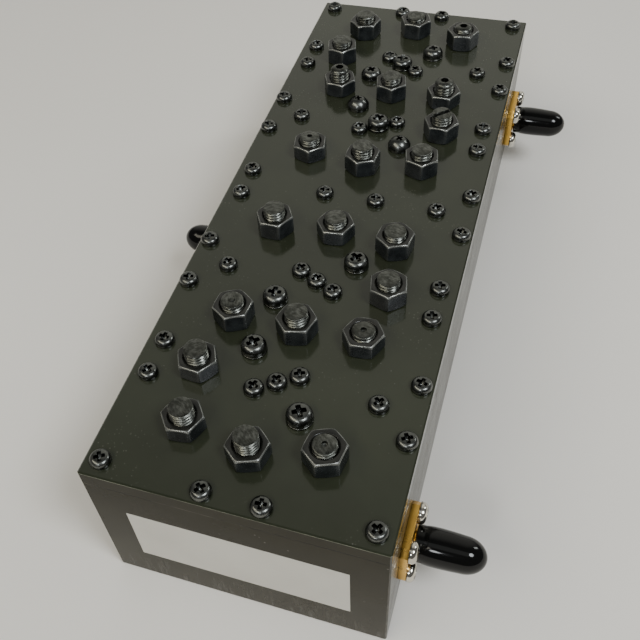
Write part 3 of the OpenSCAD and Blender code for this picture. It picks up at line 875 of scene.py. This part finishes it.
def make_studs():
    names = [f"tuning_screw_{i:02d}" for i in range(1, 19)] + [f"iris_screw_{i}" for i in range(1, 5)]
    for i, node in enumerate(names):
        rng = random.Random(STUD_SEED + i)
        kind = STUD_KINDS.get(node, "sawn")
        lo, hi = node_span(node)
        x, y = (lo[:2] + hi[:2]) / 2
        top = hi[2] - (NUB_HEIGHT if kind == "nub" else 0.0)
        piece = Piece(node + "_threaded")
        shape = stud_shape((hi[0] - lo[0]) / 2, top - lo[2], kind, rng)
        piece.add(shape, (x, y, top), rng.uniform(0, math.pi))
        piece.make("stud_steel", node, node)


# Ports: flange screws, jacks and dust caps, in millimetres

PORT_SIDES = {"far": 1, "near": 1, "common": -1}


def port_axes(side):
    """World directions of X, Y and Z of a shape whose Z points out of the wall."""
    return np.array([(0, side, 0), (0, 0, 1), (side, 0, 0)], float)


def port_place(node, side):
    """Middle of a port's node at its end near the wall, and its size."""
    lo, hi = node_span(node)
    x = lo[0] if side > 0 else hi[0]
    return (x, (lo[1] + hi[1]) / 2, (lo[2] + hi[2]) / 2), hi - lo


def make_flange_screws():
    piece = Piece("flange_screws_detailed")
    rng = random.Random(FLANGE_SCREW_SEED)
    for part in loose_parts("flange_screws"):
        axes = port_axes(1 if part[0, 0] > 0 else -1)
        add_screw(piece, part, "pan", rng.uniform(0, math.pi / 2), FLANGE_SHANK, axes)
    piece.make("nickel_screws", "body", "flange_screws")


FLANGE_T = 1.65
FLANGE_CUT = 1.5
# Soft edges of a flange: inward, and out from the wall
FLANGE_EDGE = [(0.12, 0.0), (0.03, 0.04), (0.0, 0.14), (0.0, FLANGE_T - 0.2),
               (0.05, FLANGE_T - 0.06), (0.18, FLANGE_T)]
JACK_COLUMNS = 60
JACK_R = 3.175
JACK_PITCH = 0.7056
JACK_THREAD_DEPTH = 0.4
JACK_ROWS_PER_PITCH = 7
# The thread ends this far short of the mouth, where the barrel is this much smaller in radius
JACK_LEAD = 0.35
JACK_LEAD_IN = 0.45
JACK_BORE = 2.05
JACK_MOUTH_R = 2.3
JACK_MOUTH_L = 1.9
RELIEF_R = 2.7
RELIEF_L = 1.6
RELIEF_BEND = 0.08
RELIEF_RAMP = 0.25
# The thread of each jack starts at another angle, in turns
JACK_START = 0.3


def square_with_cut_corners(angles, half, cut, inward):
    """Radius of a square of half width half whose corners are cut, moved inward all round."""
    across, up = np.abs(np.cos(angles)), np.abs(np.sin(angles))
    side = (half - inward) / np.maximum(across, up)
    corner = (2 * half - cut - inward * math.sqrt(2)) / (across + up)
    return np.minimum(side, corner)


def jack_shape(half, length, start):
    """Square flange with soft edges, a relief and a threaded barrel, with Z along the jack."""
    angles = columns(JACK_COLUMNS, on_both_sides(4, [math.atan2(half - FLANGE_CUT, half)]))
    rows = [(JACK_BORE, 0.0)]
    rows += [(square_with_cut_corners(angles, half, FLANGE_CUT, inward), z) for inward, z in FLANGE_EDGE]
    thread_from = FLANGE_T + RELIEF_L
    rows += [(RELIEF_R + RELIEF_BEND, FLANGE_T), (RELIEF_R, FLANGE_T + RELIEF_BEND),
             (RELIEF_R, thread_from - RELIEF_RAMP)]
    for z in np.arange(thread_from, length - JACK_LEAD, JACK_PITCH / JACK_ROWS_PER_PITCH):
        rows.append((thread(angles, z, JACK_R, start, JACK_PITCH, JACK_THREAD_DEPTH), z))
    rows += [(JACK_R - JACK_LEAD_IN, length), (JACK_MOUTH_R, length),
             (JACK_MOUTH_R, length - JACK_MOUTH_L), (JACK_BORE, length - JACK_MOUTH_L)]
    return turned(rows, angles, loop=True)


def make_jacks():
    for i, (port, side) in enumerate(PORT_SIDES.items()):
        node = port + "_jack"
        at, (length, width, _) = port_place(node, side)
        piece = Piece(node + "_threaded")
        piece.add(jack_shape(width / 2, length, JACK_START * i), at, axes=port_axes(side))
        piece.make("gold_plate", "body", node)


# Outside of a dust cap from its open end to where its tip begins: radius and distance
CAP_SIDE = [(3.56, 0.0), (3.66, 0.02), (3.74, 0.12), (3.75, 0.3), (3.75, 1.6), (3.78, 1.85), (3.85, 2.2),
            (3.92, 2.8), (3.96, 3.6), (3.965, 4.8), (3.94, 6.0), (3.89, 7.2), (3.82, 8.5)]
CAP_TIP_R = 3.75
CAP_TIP_L = 4.6
# Angles round the tip, which ends in a point of its own on the axis
CAP_TIP_ANGLES = np.linspace(0, 1.5, 22)
CAP_BORE_R = 3.2
CAP_MOUTH = [(CAP_BORE_R, 0.2), (3.4, 0.0)]
CAP_SOLID_L = 3.2
CAP_COLUMNS = 72


def cap_shape(length):
    """Cap with its open end at Z = 0."""
    bore_end, tip_from = length - CAP_SOLID_L, length - CAP_TIP_L
    rows = [(0, bore_end), (CAP_BORE_R, bore_end)] + CAP_MOUTH + CAP_SIDE
    rows += [(CAP_TIP_R * math.cos(t), tip_from + CAP_TIP_L * math.sin(t)) for t in CAP_TIP_ANGLES]
    rows.append((0, length))
    return turned(rows, columns(CAP_COLUMNS))


def make_caps():
    for port, side in PORT_SIDES.items():
        node = port + "_dust_cap"
        at, (length, _, _) = port_place(node, side)
        piece = Piece(node + "_smooth")
        piece.add(cap_shape(length), at, axes=port_axes(side))
        piece.make("cap_plastic", node, node, sharp=50)


# Floor and light, in metres

FLOOR_HALF = 3.0
# A little under the part, so that their faces don't share one plane
FLOOR_Z = -0.0002
LIGHT_AWAY = 1.0
# A large soft glow behind the far end, in a dim room. It grows between two cosines of the angle
# from its middle.
GLOW_TOWARD = (-0.15, 0.87, 0.47)
GLOW_GROWS = (0.62, 1.0)
GLOW_COLOR = (0.8, 0.79, 0.72)
ROOM_COLOR = (0.12, 0.12, 0.12)


def make_floor():
    mesh = bpy.data.meshes.new("floor")
    corners = [(-1, -1), (1, -1), (1, 1), (-1, 1)]
    mesh.from_pydata([(x * FLOOR_HALF, y * FLOOR_HALF, FLOOR_Z) for x, y in corners], [], [(0, 1, 2, 3)])
    mesh.materials.append(floor_paper())
    obj = bpy.data.objects.new("floor", mesh)
    bpy.context.scene.collection.objects.link(obj)


def area_light(name, toward, size, radiance, color, shape="RECTANGLE"):
    """Light in the direction toward, seen from the object, that isn't seen by the camera."""
    data = bpy.data.lights.new(name, "AREA")
    data.shape = shape
    data.size, data.size_y = size
    area = size[0] * size[1] * (math.pi / 4 if shape == "ELLIPSE" else 1)
    data.energy = radiance * math.pi * area
    data.color = color
    obj = bpy.data.objects.new(name, data)
    obj.location = Vector(toward).normalized() * LIGHT_AWAY
    obj.rotation_euler = Vector(toward).to_track_quat("Z", "Y").to_euler()
    obj.visible_camera = False
    bpy.context.scene.collection.objects.link(obj)


def make_world():
    world = bpy.data.worlds.new("studio")
    world.use_nodes = True
    nodes, links = world.node_tree.nodes, world.node_tree.links
    facing = nodes.new("ShaderNodeVectorMath")
    facing.operation = "DOT_PRODUCT"
    facing.inputs[1].default_value = GLOW_TOWARD
    links.new(nodes.new("ShaderNodeTexCoord").outputs["Generated"], facing.inputs[0])
    fade = nodes.new("ShaderNodeMapRange")
    fade.interpolation_type = "SMOOTHSTEP"
    fade.inputs["From Min"].default_value, fade.inputs["From Max"].default_value = GLOW_GROWS
    links.new(facing.outputs["Value"], fade.inputs["Value"])
    mix = nodes.new("ShaderNodeMix")
    mix.data_type = "RGBA"
    mix.inputs[MIX_FIRST].default_value = (*ROOM_COLOR, 1)
    mix.inputs[MIX_SECOND].default_value = (*GLOW_COLOR, 1)
    links.new(fade.outputs["Result"], mix.inputs["Factor"])
    links.new(mix.outputs[MIX_RESULT], nodes["Background"].inputs["Color"])
    bpy.context.scene.world = world


def make_lights():
    area_light("warm_left", (-0.45, -0.47, 0.76), (0.85, 0.24), 5, (1.0, 0.94, 0.78))
    area_light("cool_right", (0.51, -0.28, 0.81), (0.3, 0.3), 22, (0.93, 0.97, 1.0), "ELLIPSE")
    area_light("side_right", (0.62, 0.55, 0.56), (0.14, 0.32), 9, (0.97, 1.0, 0.97))
    area_light("soft_above", (0.03, -0.38, 0.9), (0.9, 0.4), 0.5, (0.97, 1.0, 0.96))
    area_light("lamp_behind", (-0.02, -0.78, 0.62), (0.16, 0.16), 20, (0.95, 0.98, 1.0), "ELLIPSE")


make_camera()
dress_nodes()
make_lid_screws()
make_coupling_screws()
make_washers()
make_nuts()
make_studs()
make_flange_screws()
make_jacks()
make_caps()
make_floor()
make_world()
make_lights()
